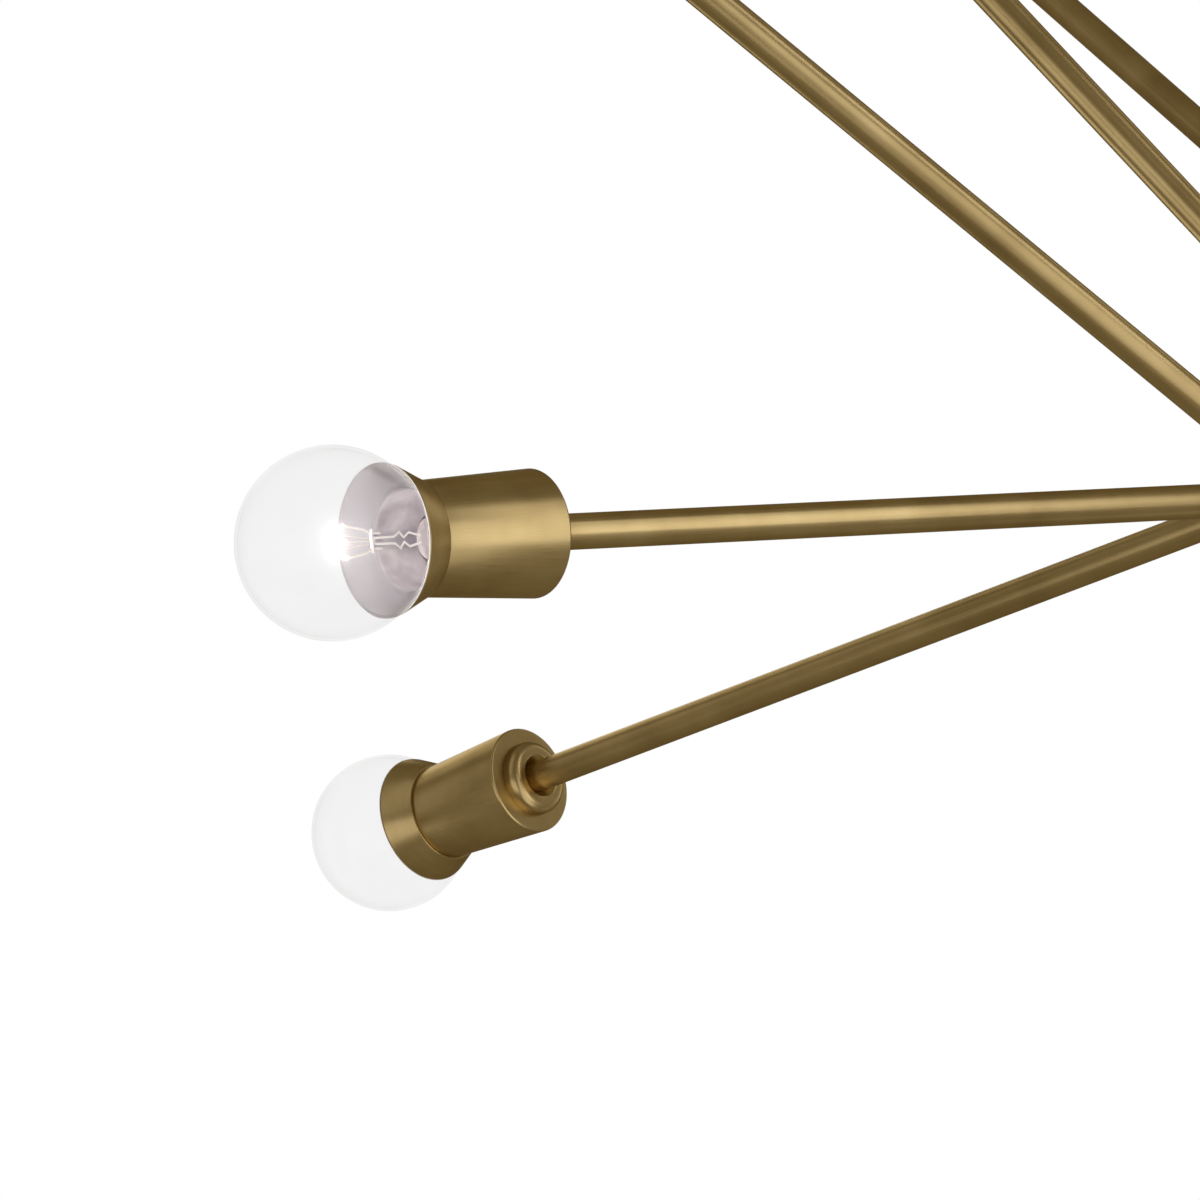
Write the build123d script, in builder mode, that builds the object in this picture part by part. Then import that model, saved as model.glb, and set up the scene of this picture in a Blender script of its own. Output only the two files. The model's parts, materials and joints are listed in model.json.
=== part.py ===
# Ten-light starburst chandelier in satin brass, hung from a ceiling canopy on a jointed stem.
# Millimetres, +Z up, origin on the ceiling plane at the centre of the mounting bar.
import os
from math import cos, radians, sin, sqrt, tan

from build123d import *

# Clearances
SEAT_GAP = 0.05          # radial play of a piece seated in a bore of its own body
TURN_GAP = 0.3           # play between faces that turn past each other
PIVOT_GAP = 0.06         # radial play of the turning joints
LAMP_GAP = 0.3           # play round the lamp in its socket and at the ring's lip
EDGE_SHARE = 0.8         # most of a wall that a rounded edge may take

# Ceiling set
SLOT_SPACING = 88.9      # screw spacing of a round ceiling box
SLOT_LENGTH = 14.0
SLOT_WIDTH = 5.2
BAR_END = 4.55           # bar past each slot
BAR_WIDTH = 22.0
BAR_THICKNESS = 2.5
CANOPY_ROOM = 7.8        # between the bar's ends and the canopy's wall
CANOPY_HEIGHT = 26.0
CANOPY_WALL = 1.2
CANOPY_SHOULDER = 14.0
NIPPLE_RADIUS = 5.0
NIPPLE_WALL = 1.6
LOCKNUT_WALL = 2.45      # from the nipple to the nut's flats
LOCKNUT_HEIGHT = 4.0
COLLAR_WALL = 4.95
COLLAR_HEIGHT = 8.0
COLLAR_EDGE = 1.2
EARTH_SCREW_RADIUS = 2.0
EARTH_HEAD_RADIUS = 4.0
EARTH_HEAD_HEIGHT = 2.6

# Hang-straight swivel
SWIVEL_NUT_WALL = 1.95
SWIVEL_NUT_HEIGHT = 3.5
YOKE_WALL = 2.7          # round the nut
YOKE_LID = 5.0
PIN_RADIUS = 2.5
PIN_STANDOUT = 0.6
TONGUE_WALL = 5.44       # round the pin
TONGUE_THICKNESS = 8.0
TONGUE_CLEAR = 4.0       # between the yoke and the tongue's base
TONGUE_BASE_WALL = 3.95
TONGUE_BASE_FLOOR = 4.0
TONGUE_BASE_EDGE = 2.0

# Stem
STEM_RADIUS = 6.0
STEM_WALL = 1.4
STEM_GRIP = 12.0         # depth of a stem end in its socket
UPPER_STEM = 200.0
LOWER_STEM = 200.0
COUPLING_WALL = 2.95
COUPLING_WEB = 4.0
COUPLING_EDGE = 1.5

# Hub column
HUB_RADIUS = 24.0
HUB_WALL = 4.0
HUB_END = 9.0            # column past the outermost bosses
HUB_LID = 5.0
HUB_EDGE = 5.0
HUB_NECK_WALL = 3.45
HUB_NECK_FLOOR = 2.0
HUB_CAP_THICKNESS = 4.0
HUB_CAP_EDGE = 3.2
HUB_CAP_SPIGOT = 6.0
HUB_BUTTON_RADIUS = 8.0
HUB_BUTTON_HEIGHT = 7.0
HUB_BUTTON_EDGE = 4.2
BOSS_WALL = 2.95
BOSS_STANDOUT = 6.0
BOSS_DEPTH = 14.0        # depth of an arm in its boss
WIRE_HOLE = 3.4
SET_SCREW_RADIUS = 1.5
SET_SCREW_INSET = 5.0    # from the boss's end face
SET_SCREW_RECESS = 0.7   # below the boss's surface

# Arms: five opposite pairs
TUBE_RADIUS = 5.0
TUBE_WALL = 1.0
SHORT_REACH = 364.2      # hub axis to the back of the cup
LONG_REACH = 416.2
LOW_PITCH = -8.9         # degrees above level
RAISED_PITCH = 35.3      # degrees above level
STEEP_PITCH = 48.1       # degrees above level
LOW_FRONT_TURN = 216.5   # degrees about the column, from +X
LOW_REAR_TURN = 135.7    # degrees, the same way
RAISED_FRONT_TURN = 200.0  # degrees, the same way
RAISED_REAR_TURN = 118.0   # degrees, the same way
STEEP_TURN = 180.0       # degrees, the same way
LOW_FRONT_HEIGHT = -24.0  # height of the arm's axis on the hub axis
LOW_REAR_HEIGHT = 0.0
RAISED_FRONT_HEIGHT = -77.5
RAISED_REAR_HEIGHT = 2.0
STEEP_HEIGHT = -44.5

# Lamp cup and its flared ring
CUP_BACK_RADIUS = 17.5
CUP_FRONT_RADIUS = 15.7
CUP_BACK_WALL = 1.6
CUP_EDGE = 2.4
SPIGOT_STEP = 0.7        # below the front of the cup
SPIGOT_LENGTH = 2.6
SPIGOT_WALL = 0.9
RING_LENGTH = 10.2
RING_STEP = 0.7          # above the front of the cup
RING_FLARE = 4.6
RING_LIP = 0.8
CUP_BOSS_WALL = 7.15     # round the arm
CUP_BOSS_HEIGHT = 6.0
CUP_BOSS_EDGE = 3.4
CUP_BOSS_COVE = 1.3      # soft step between the boss and the cup
CUP_BOSS_LIP = 0.2       # thickness of the step's rim

# Lampholder inside the cup
HOLDER_WALL = 5.05
HOLDER_FLOOR = 5.7       # between the arm's end and the contact
TUBE_GRIP = 6.0          # arm end inside the lampholder
SHELL_WALL = 0.5
SHELL_FOOT = 1.0         # shell above the contact
SHELL_MOUTH = 1.5        # shell below the lampholder's front
CONTACT_RADIUS = 2.6
CONTACT_HEIGHT = 1.2

# Globe lamp with a small screw base
GLOBE_RADIUS = 26.2
GLASS_WALL = 0.8
NECK_FLARE_RADIUS = 12.5  # where the sphere turns into the neck
NECK_RADIUS = 6.6
BASE_SKIRT_WALL = 0.55
BASE_SKIRT = 2.5
BASE_RIM = 1.0
BASE_RADIUS = 5.9
BASE_THREAD = 13.5
BASE_INSULATOR = 2.0
BASE_TIP_RADIUS = 2.2
BASE_TIP = 1.1
STEM_GLASS_RADIUS = 2.6
STEM_GLASS_TOP = 13.0    # glass stem ends this far behind the globe centre
LEAD_RADIUS = 0.45
FILAMENT_SPAN = 12.0
FILAMENT_RISE = 3.0
FILAMENT_PLACE = 2.0     # filament behind the globe centre


# Radii that follow from what each piece goes round
nipple_hole = NIPPLE_RADIUS + SEAT_GAP
bar_length = SLOT_SPACING + SLOT_LENGTH + 2 * BAR_END
canopy_radius = bar_length / 2 + CANOPY_ROOM + CANOPY_WALL
locknut_radius = nipple_hole + LOCKNUT_WALL
collar_radius = nipple_hole + COLLAR_WALL
swivel_nut_radius = nipple_hole + SWIVEL_NUT_WALL
yoke_radius = swivel_nut_radius + TURN_GAP + YOKE_WALL
tongue_radius = PIN_RADIUS + PIVOT_GAP + TONGUE_WALL
stem_hole = STEM_RADIUS + SEAT_GAP
stem_bore = STEM_RADIUS - STEM_WALL
tongue_base_radius = stem_hole + TONGUE_BASE_WALL
coupling_radius = stem_hole + COUPLING_WALL
hub_neck_radius = stem_hole + HUB_NECK_WALL
hub_bore = HUB_RADIUS - HUB_WALL
tube_hole = TUBE_RADIUS + SEAT_GAP
boss_radius = tube_hole + BOSS_WALL
cup_boss_radius = tube_hole + CUP_BOSS_WALL
spigot_radius = CUP_FRONT_RADIUS - SPIGOT_STEP
cup_bore = spigot_radius - SPIGOT_WALL
ring_rear_radius = CUP_FRONT_RADIUS + RING_STEP
ring_lip_radius = ring_rear_radius + RING_FLARE
ring_mouth = ring_lip_radius - RING_LIP
shell_bore = BASE_RADIUS + LAMP_GAP
holder_bore = shell_bore + SHELL_WALL + SEAT_GAP
holder_radius = holder_bore + HOLDER_WALL
base_skirt_radius = NECK_RADIUS + SEAT_GAP + BASE_SKIRT_WALL

# The earth screw stands midway between the locknut and a slot
locknut_corner = locknut_radius / cos(radians(30))
earth_screw_place = (locknut_corner + SLOT_SPACING / 2 - SLOT_LENGTH / 2) / 2

# Lengths of the lamp, behind the centre of its globe
neck_join = sqrt(GLOBE_RADIUS**2 - NECK_FLARE_RADIUS**2)
neck_slope = (NECK_FLARE_RADIUS - NECK_RADIUS) / neck_join
neck_end = neck_join + neck_slope * (NECK_FLARE_RADIUS + GLOBE_RADIUS)
base_seat = neck_end + BASE_SKIRT
base_end = base_seat + BASE_THREAD + BASE_INSULATOR + BASE_TIP

# Lengths along the socket, from the back of the cup: the cup is as deep as the lamp needs
tube_end = CUP_BACK_WALL + TUBE_GRIP
contact_bottom = tube_end + HOLDER_FLOOR
contact_top = contact_bottom + CONTACT_HEIGHT
globe_centre = contact_top + LAMP_GAP + base_end
holder_front = globe_centre - base_seat - BASE_RIM - LAMP_GAP
shell_back = contact_top + SHELL_FOOT
shell_front = holder_front - SHELL_MOUTH
globe_set = sqrt(max(0.0, (GLOBE_RADIUS + LAMP_GAP)**2 - ring_mouth**2))
ring_lip = globe_centre - globe_set
cup_length = ring_lip - RING_LENGTH

ARM_PAIRS = (
    (LOW_FRONT_TURN, LOW_PITCH, LOW_FRONT_HEIGHT, SHORT_REACH),
    (LOW_REAR_TURN, LOW_PITCH, LOW_REAR_HEIGHT, LONG_REACH),
    (RAISED_FRONT_TURN, RAISED_PITCH, RAISED_FRONT_HEIGHT, LONG_REACH),
    (STEEP_TURN, STEEP_PITCH, STEEP_HEIGHT, SHORT_REACH),
    (RAISED_REAR_TURN, RAISED_PITCH, RAISED_REAR_HEIGHT, LONG_REACH),
)


def wall_span(pitch, height):
    """Lowest and highest points of an arm's boss on the column's wall, from the arms' datum level."""
    crossing = height + HUB_RADIUS * tan(radians(pitch))
    half = boss_radius / cos(radians(pitch))
    return crossing - half, crossing + half


# Heights down the hanging stack
boss_spans = [wall_span(pitch, height) for turn, pitch, height, reach in ARM_PAIRS]
hub_above = max(high for low, high in boss_spans) + HUB_END
hub_below = HUB_END - min(low for low, high in boss_spans)
bar_bottom = -BAR_THICKNESS
canopy_bottom = -CANOPY_HEIGHT
collar_bottom = canopy_bottom - COLLAR_HEIGHT
yoke_top = collar_bottom - TURN_GAP
yoke_lid_bottom = yoke_top - YOKE_LID
swivel_nut_top = yoke_lid_bottom - TURN_GAP
nipple_bottom = swivel_nut_top - SWIVEL_NUT_HEIGHT
slot_top = nipple_bottom - TURN_GAP
pivot_height = slot_top - TURN_GAP - tongue_radius
yoke_bottom = pivot_height - yoke_radius
tongue_base_top = yoke_bottom - TONGUE_CLEAR
tongue_base_bottom = tongue_base_top - TONGUE_BASE_FLOOR - STEM_GRIP
upper_stem_top = tongue_base_bottom + STEM_GRIP
upper_stem_bottom = upper_stem_top - UPPER_STEM
lower_stem_top = upper_stem_bottom - COUPLING_WEB
lower_stem_bottom = lower_stem_top - LOWER_STEM
hub_neck_top = lower_stem_bottom + STEM_GRIP
hub_top = lower_stem_bottom - HUB_NECK_FLOOR
hub_cavity_top = hub_top - HUB_LID
arm_level = hub_top - hub_above
hub_bottom = arm_level - hub_below


class Arm:
    """One arm's axis, from the hub axis outward to the back of its cup."""

    def __init__(self, turn, pitch, height, reach):
        turn, pitch = radians(turn), radians(pitch)
        self.root = Vector(0, 0, arm_level + height)
        self.out = Vector(cos(pitch) * cos(turn), cos(pitch) * sin(turn), sin(pitch))
        self.side = Vector(-sin(turn), cos(turn), 0)
        self.reach = reach
        # The boss's end face stands clear of the hub wall all round.
        lean = boss_radius * abs(sin(pitch))
        self.boss_end = (HUB_RADIUS + BOSS_STANDOUT + lean) / cos(pitch)
        self.seat = self.boss_end - BOSS_DEPTH

    def plane(self, distance):
        """Plane square to the arm, at a distance from the hub axis."""
        return Plane(origin=self.root + self.out * distance, x_dir=self.side, z_dir=self.out)

    def screw_plane(self):
        """Plane on the arm's underside, where the set screw points at the tube."""
        down = self.side.cross(self.out)
        start = self.root + self.out * (self.boss_end - SET_SCREW_INSET)
        return Plane(origin=start + down * tube_hole, x_dir=self.side, z_dir=down)


ARMS = [Arm(turn + half_turn, pitch, height, reach)
        for half_turn in (0.0, 180.0)
        for turn, pitch, height, reach in ARM_PAIRS]
SOCKETS = [arm.plane(arm.reach) for arm in ARMS]

os.makedirs("parts", exist_ok=True)


def save(piece, name):
    piece.part.label = name
    export_step(piece.part, f"parts/{name}.step")


def edge(radius, *walls):
    """Size of a rounded edge, within what its walls allow."""
    return min(radius, *(EDGE_SHARE * wall for wall in walls))


def tube_profile(plane, outer, inner):
    """Ring section on a plane."""
    with BuildSketch(plane) as ring:
        Circle(outer)
        Circle(inner, mode=Mode.SUBTRACT)
    return ring.sketch


# Ceiling set: bar, nipple, locknut, earth screw, canopy, collar
with BuildPart() as mounting_bar:
    with BuildSketch(Plane.XY.offset(bar_bottom)):
        SlotOverall(bar_length, BAR_WIDTH)
        with GridLocations(SLOT_SPACING, 0, 2, 1):
            SlotOverall(SLOT_LENGTH, SLOT_WIDTH, mode=Mode.SUBTRACT)
        Circle(nipple_hole, mode=Mode.SUBTRACT)
        with Locations((earth_screw_place, 0)):
            Circle(EARTH_SCREW_RADIUS + SEAT_GAP, mode=Mode.SUBTRACT)
    extrude(amount=BAR_THICKNESS)
save(mounting_bar, "mounting_bar")

with BuildPart() as earth_screw:
    with BuildSketch(Plane.XY.offset(bar_bottom)):
        with Locations((earth_screw_place, 0)):
            RegularPolygon(EARTH_HEAD_RADIUS, 6)
    extrude(amount=-EARTH_HEAD_HEIGHT)
    with BuildSketch(Plane.XY.offset(bar_bottom)):
        with Locations((earth_screw_place, 0)):
            Circle(EARTH_SCREW_RADIUS)
    extrude(amount=BAR_THICKNESS)
save(earth_screw, "earth_screw")

with BuildPart() as nipple:
    extrude(tube_profile(Plane.XY, NIPPLE_RADIUS, NIPPLE_RADIUS - NIPPLE_WALL), amount=nipple_bottom)
save(nipple, "nipple")

with BuildPart() as nipple_locknut:
    with BuildSketch(Plane.XY.offset(bar_bottom)):
        RegularPolygon(locknut_radius, 6, major_radius=False)
        Circle(nipple_hole, mode=Mode.SUBTRACT)
    extrude(amount=-LOCKNUT_HEIGHT)
save(nipple_locknut, "nipple_locknut")

with BuildPart() as canopy:
    with BuildSketch():
        Circle(canopy_radius)
    extrude(amount=canopy_bottom)
    fillet(canopy.faces().sort_by(Axis.Z)[0].edges(), radius=edge(CANOPY_SHOULDER, CANOPY_HEIGHT))
    offset(amount=-CANOPY_WALL, openings=canopy.faces().sort_by(Axis.Z)[-1])
    with BuildSketch(Plane.XY.offset(canopy_bottom)):
        Circle(nipple_hole)
    extrude(amount=CANOPY_WALL, mode=Mode.SUBTRACT)
save(canopy, "canopy")

with BuildPart() as canopy_collar:
    section = tube_profile(Plane.XY.offset(canopy_bottom), collar_radius, nipple_hole)
    extrude(section, amount=-COLLAR_HEIGHT)
    outer_edges = canopy_collar.faces().sort_by(SortBy.AREA)[-1].edges()
    collar_edge = edge(COLLAR_EDGE, COLLAR_WALL, COLLAR_HEIGHT / 2)
    chamfer(outer_edges.filter_by(GeomType.CIRCLE), length=collar_edge)
save(canopy_collar, "canopy_collar")

# Hang-straight swivel
with BuildPart() as swivel_nut:
    section = tube_profile(Plane.XY.offset(swivel_nut_top), swivel_nut_radius, nipple_hole)
    extrude(section, amount=-SWIVEL_NUT_HEIGHT)
save(swivel_nut, "swivel_nut")

with BuildPart() as swivel_yoke:
    with BuildSketch(Plane.YZ):
        with Locations((0, (yoke_top + pivot_height) / 2)):
            Rectangle(2 * yoke_radius, yoke_top - pivot_height)
        with Locations((0, pivot_height)):
            Circle(yoke_radius)
    extrude(amount=yoke_radius, both=True)
    with BuildSketch(Plane.XY.offset(yoke_top)):
        Circle(yoke_radius)
    extrude(amount=yoke_bottom - yoke_top, mode=Mode.INTERSECT)
    with BuildSketch(Plane.XY.offset(yoke_top)):
        Circle(NIPPLE_RADIUS + PIVOT_GAP)
    extrude(amount=-YOKE_LID, mode=Mode.SUBTRACT)
    with BuildSketch(Plane.XY.offset(yoke_lid_bottom)):
        Circle(swivel_nut_radius + TURN_GAP)
    extrude(amount=slot_top - yoke_lid_bottom, mode=Mode.SUBTRACT)
    with BuildSketch(Plane.XY.offset(slot_top)):
        Rectangle(TONGUE_THICKNESS + 2 * TURN_GAP, 2 * yoke_radius)
    extrude(amount=yoke_bottom - slot_top, mode=Mode.SUBTRACT)
    with BuildSketch(Plane.YZ.offset(-yoke_radius)):
        with Locations((0, pivot_height)):
            Circle(PIN_RADIUS + SEAT_GAP)
    extrude(amount=2 * yoke_radius, mode=Mode.SUBTRACT)
save(swivel_yoke, "swivel_yoke")

with BuildPart() as swivel_pin:
    with BuildSketch(Plane.YZ.offset(-yoke_radius - PIN_STANDOUT)):
        with Locations((0, pivot_height)):
            Circle(PIN_RADIUS)
    extrude(amount=2 * (yoke_radius + PIN_STANDOUT))
    chamfer(swivel_pin.edges().filter_by(GeomType.CIRCLE), length=edge(PIN_STANDOUT, PIN_RADIUS))
save(swivel_pin, "swivel_pin")

with BuildPart() as swivel_tongue:
    with BuildSketch(Plane.YZ):
        with Locations((0, pivot_height)):
            Circle(tongue_radius)
        with Locations((0, (pivot_height + tongue_base_top) / 2)):
            Rectangle(2 * tongue_radius, pivot_height - tongue_base_top)
        with Locations((0, pivot_height)):
            Circle(PIN_RADIUS + PIVOT_GAP, mode=Mode.SUBTRACT)
    extrude(amount=TONGUE_THICKNESS / 2, both=True)
    with BuildSketch(Plane.XY.offset(tongue_base_top)):
        Circle(tongue_base_radius)
    extrude(amount=tongue_base_bottom - tongue_base_top)
    base_rim = swivel_tongue.faces().sort_by(Axis.Z)[0].edges()
    fillet(base_rim, radius=edge(TONGUE_BASE_EDGE, TONGUE_BASE_WALL))
    with BuildSketch(Plane.XY.offset(tongue_base_bottom)):
        Circle(stem_hole)
    extrude(amount=STEM_GRIP, mode=Mode.SUBTRACT)
save(swivel_tongue, "swivel_tongue")

# Stem in two lengths
with BuildPart() as upper_stem:
    section = tube_profile(Plane.XY.offset(upper_stem_bottom), STEM_RADIUS, stem_bore)
    extrude(section, amount=UPPER_STEM)
save(upper_stem, "upper_stem")

with BuildPart() as stem_coupling:
    with BuildSketch(Plane.XY.offset(lower_stem_top - STEM_GRIP)):
        Circle(coupling_radius)
    extrude(amount=2 * STEM_GRIP + COUPLING_WEB)
    chamfer(stem_coupling.edges().filter_by(GeomType.CIRCLE), length=edge(COUPLING_EDGE, COUPLING_WALL))
    with BuildSketch(Plane.XY.offset(upper_stem_bottom)):
        Circle(stem_hole)
    extrude(amount=STEM_GRIP, mode=Mode.SUBTRACT)
    with BuildSketch(Plane.XY.offset(lower_stem_top)):
        Circle(stem_hole)
    extrude(amount=-STEM_GRIP, mode=Mode.SUBTRACT)
    with BuildSketch(Plane.XY.offset(lower_stem_top)):
        Circle(stem_bore)
    extrude(amount=COUPLING_WEB, mode=Mode.SUBTRACT)
save(stem_coupling, "stem_coupling")

with BuildPart() as lower_stem:
    section = tube_profile(Plane.XY.offset(lower_stem_bottom), STEM_RADIUS, stem_bore)
    extrude(section, amount=LOWER_STEM)
save(lower_stem, "lower_stem")

# Hub column with a boss for each arm
with BuildPart() as hub:
    with BuildSketch(Plane.XY.offset(hub_bottom)):
        Circle(HUB_RADIUS)
    extrude(amount=hub_top - hub_bottom)
    fillet(hub.faces().sort_by(Axis.Z)[-1].edges(), radius=edge(HUB_EDGE, HUB_RADIUS - hub_neck_radius))
    with BuildSketch(Plane.XY.offset(hub_top)):
        Circle(hub_neck_radius)
    extrude(amount=hub_neck_top - hub_top)
    for arm in ARMS:
        with BuildSketch(arm.plane(hub_bore / 2)):
            Circle(boss_radius)
        extrude(amount=arm.boss_end - hub_bore / 2)
    with BuildSketch(Plane.XY.offset(hub_bottom)):
        Circle(hub_bore)
    extrude(amount=hub_cavity_top - hub_bottom, mode=Mode.SUBTRACT)
    with BuildSketch(Plane.XY.offset(lower_stem_bottom)):
        Circle(stem_hole)
    extrude(amount=STEM_GRIP, mode=Mode.SUBTRACT)
    with BuildSketch(Plane.XY.offset(hub_cavity_top)):
        Circle(stem_bore)
    extrude(amount=lower_stem_bottom - hub_cavity_top, mode=Mode.SUBTRACT)
    for arm in ARMS:
        with BuildSketch(arm.plane(arm.seat)):
            Circle(tube_hole)
        extrude(amount=BOSS_DEPTH, mode=Mode.SUBTRACT)
        with BuildSketch(arm.plane(hub_bore / 2)):
            Circle(WIRE_HOLE)
        extrude(amount=arm.seat - hub_bore / 2, mode=Mode.SUBTRACT)
        with BuildSketch(arm.screw_plane()):
            Circle(SET_SCREW_RADIUS + SEAT_GAP)
        extrude(amount=boss_radius - tube_hole, mode=Mode.SUBTRACT)
save(hub, "hub")

with BuildPart() as hub_cap:
    with BuildSketch(Plane.XY.offset(hub_bottom)):
        Circle(HUB_RADIUS)
    extrude(amount=-HUB_CAP_THICKNESS)
    fillet(hub_cap.faces().sort_by(Axis.Z)[0].edges(), radius=edge(HUB_CAP_EDGE, HUB_CAP_THICKNESS))
    with BuildSketch(Plane.XY.offset(hub_bottom)):
        Circle(hub_bore - SEAT_GAP)
    extrude(amount=HUB_CAP_SPIGOT)
    with BuildSketch(Plane.XY.offset(hub_bottom - HUB_CAP_THICKNESS)):
        Circle(HUB_BUTTON_RADIUS)
    extrude(amount=-HUB_BUTTON_HEIGHT)
    button_rim = hub_cap.faces().sort_by(Axis.Z)[0].edges()
    fillet(button_rim, radius=edge(HUB_BUTTON_EDGE, HUB_BUTTON_HEIGHT, HUB_BUTTON_RADIUS))
save(hub_cap, "hub_cap")

with BuildPart() as arm_set_screws:
    for arm in ARMS:
        with BuildSketch(arm.screw_plane()):
            Circle(SET_SCREW_RADIUS)
        extrude(amount=boss_radius - tube_hole - SET_SCREW_RECESS)
save(arm_set_screws, "arm_set_screws")

# Arm tubes
for number, arm in enumerate(ARMS, start=1):
    with BuildPart() as arm_tube:
        section = tube_profile(arm.plane(arm.seat), TUBE_RADIUS, TUBE_RADIUS - TUBE_WALL)
        extrude(section, amount=arm.reach + tube_end - arm.seat)
    save(arm_tube, f"arm_{number}")

# Lamp cup: tapered shell with a spigot at its mouth, about its own axis
with BuildPart() as cup:
    with BuildSketch(Plane.XZ):
        with BuildLine():
            Polyline(
                (tube_hole, 0),
                (CUP_BACK_RADIUS, 0),
                (CUP_FRONT_RADIUS, cup_length),
                (spigot_radius, cup_length),
                (spigot_radius, cup_length + SPIGOT_LENGTH),
                (cup_bore, cup_length + SPIGOT_LENGTH),
                (cup_bore, CUP_BACK_WALL),
                (tube_hole, CUP_BACK_WALL),
                close=True,
            )
        make_face()
    revolve(axis=Axis.Z)
    back_edges = cup.faces().sort_by(Axis.Z)[0].edges()
    fillet(back_edges.sort_by(SortBy.LENGTH)[-1], radius=edge(CUP_EDGE, CUP_BACK_RADIUS - cup_bore))

for number, socket in enumerate(SOCKETS, start=1):
    with BuildPart() as placed_cup:
        with Locations(socket):
            add(cup.part)
    save(placed_cup, f"cup_{number}")

# Flared ring on the cup's spigot
with BuildPart() as ring:
    with BuildSketch(Plane.XZ):
        with BuildLine():
            Polyline(
                (spigot_radius + SEAT_GAP, cup_length),
                (ring_rear_radius, cup_length),
                (ring_lip_radius, ring_lip),
                (ring_mouth, ring_lip),
                (spigot_radius + SEAT_GAP, cup_length + SPIGOT_LENGTH),
                close=True,
            )
        make_face()
    revolve(axis=Axis.Z)

with BuildPart() as cup_rings:
    with Locations(*SOCKETS):
        add(ring.part)
save(cup_rings, "cup_rings")

# Rounded boss where the arm enters the cup
with BuildPart() as boss:
    with BuildSketch(Plane.XY.offset(-CUP_BOSS_HEIGHT)):
        Circle(cup_boss_radius)
    extrude(amount=CUP_BOSS_HEIGHT)
    boss_rim = boss.faces().sort_by(Axis.Z)[0].edges()
    fillet(boss_rim, radius=edge(CUP_BOSS_EDGE, CUP_BOSS_HEIGHT, CUP_BOSS_WALL))
    cove = edge(CUP_BOSS_COVE, CUP_BACK_RADIUS - CUP_EDGE - cup_boss_radius)
    with BuildSketch(Plane.XZ):
        with Locations((cup_boss_radius, 0)):
            Rectangle(cove, cove + CUP_BOSS_LIP, align=(Align.MIN, Align.MAX))
        with Locations((cup_boss_radius + cove, -cove - CUP_BOSS_LIP)):
            Circle(cove, mode=Mode.SUBTRACT)
    revolve(axis=Axis.Z)
    with BuildSketch(Plane.XY.offset(-CUP_BOSS_HEIGHT)):
        Circle(tube_hole)
    extrude(amount=CUP_BOSS_HEIGHT, mode=Mode.SUBTRACT)

with BuildPart() as cup_bosses:
    with Locations(*SOCKETS):
        add(boss.part)
save(cup_bosses, "cup_bosses")

# Lampholder: insulator with the arm's end below and the screw shell above
with BuildPart() as holder:
    with BuildSketch(Plane.XY.offset(CUP_BACK_WALL)):
        Circle(holder_radius)
    extrude(amount=holder_front - CUP_BACK_WALL)
    with BuildSketch(Plane.XY.offset(CUP_BACK_WALL)):
        Circle(tube_hole)
    extrude(amount=TUBE_GRIP, mode=Mode.SUBTRACT)
    with BuildSketch(Plane.XY.offset(contact_bottom)):
        Circle(holder_bore)
    extrude(amount=holder_front - contact_bottom, mode=Mode.SUBTRACT)

with BuildPart() as lampholders:
    with Locations(*SOCKETS):
        add(holder.part)
save(lampholders, "lampholders")

# Screw shell and centre contact
with BuildPart() as shell_and_contact:
    section = tube_profile(Plane.XY.offset(shell_back), shell_bore + SHELL_WALL, shell_bore)
    extrude(section, amount=shell_front - shell_back)
    with BuildSketch(Plane.XY.offset(contact_bottom)):
        Circle(CONTACT_RADIUS)
    extrude(amount=CONTACT_HEIGHT)

with BuildPart() as lamp_contacts:
    with Locations(*SOCKETS):
        add(shell_and_contact.part)
save(lamp_contacts, "lamp_contacts")

# Globe of the lamp: blown sphere drawn into a neck, about its own centre
with BuildPart() as globe:
    with BuildSketch(Plane.XZ):
        with BuildLine():
            ThreePointArc((0, GLOBE_RADIUS), (GLOBE_RADIUS, 0), (NECK_FLARE_RADIUS, -neck_join))
            TangentArc(
                (NECK_FLARE_RADIUS, -neck_join),
                (NECK_RADIUS, -neck_end),
                tangent=(-neck_join, -NECK_FLARE_RADIUS),
            )
            Polyline(
                (NECK_RADIUS, -neck_end),
                (NECK_RADIUS, -base_seat),
                (0, -base_seat),
                (0, GLOBE_RADIUS),
            )
        make_face()
    revolve(axis=Axis.Z)
    offset(amount=-GLASS_WALL, openings=globe.faces().sort_by(Axis.Z)[0])

# Screw base, with the glass stem, lead wires and filament that stand on it
with BuildPart() as base:
    with BuildSketch(Plane.XZ):
        with BuildLine():
            Polyline(
                (0, -base_seat),
                (NECK_RADIUS + SEAT_GAP, -base_seat),
                (NECK_RADIUS + SEAT_GAP, -neck_end),
                (base_skirt_radius, -neck_end),
                (base_skirt_radius, -base_seat - BASE_RIM),
                (BASE_RADIUS, -base_seat - BASE_RIM),
                (BASE_RADIUS, -base_seat - BASE_THREAD),
                (BASE_TIP_RADIUS, -base_end + BASE_TIP),
                (BASE_TIP_RADIUS, -base_end),
                (0, -base_end),
                close=True,
            )
        make_face()
    revolve(axis=Axis.Z)

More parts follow.
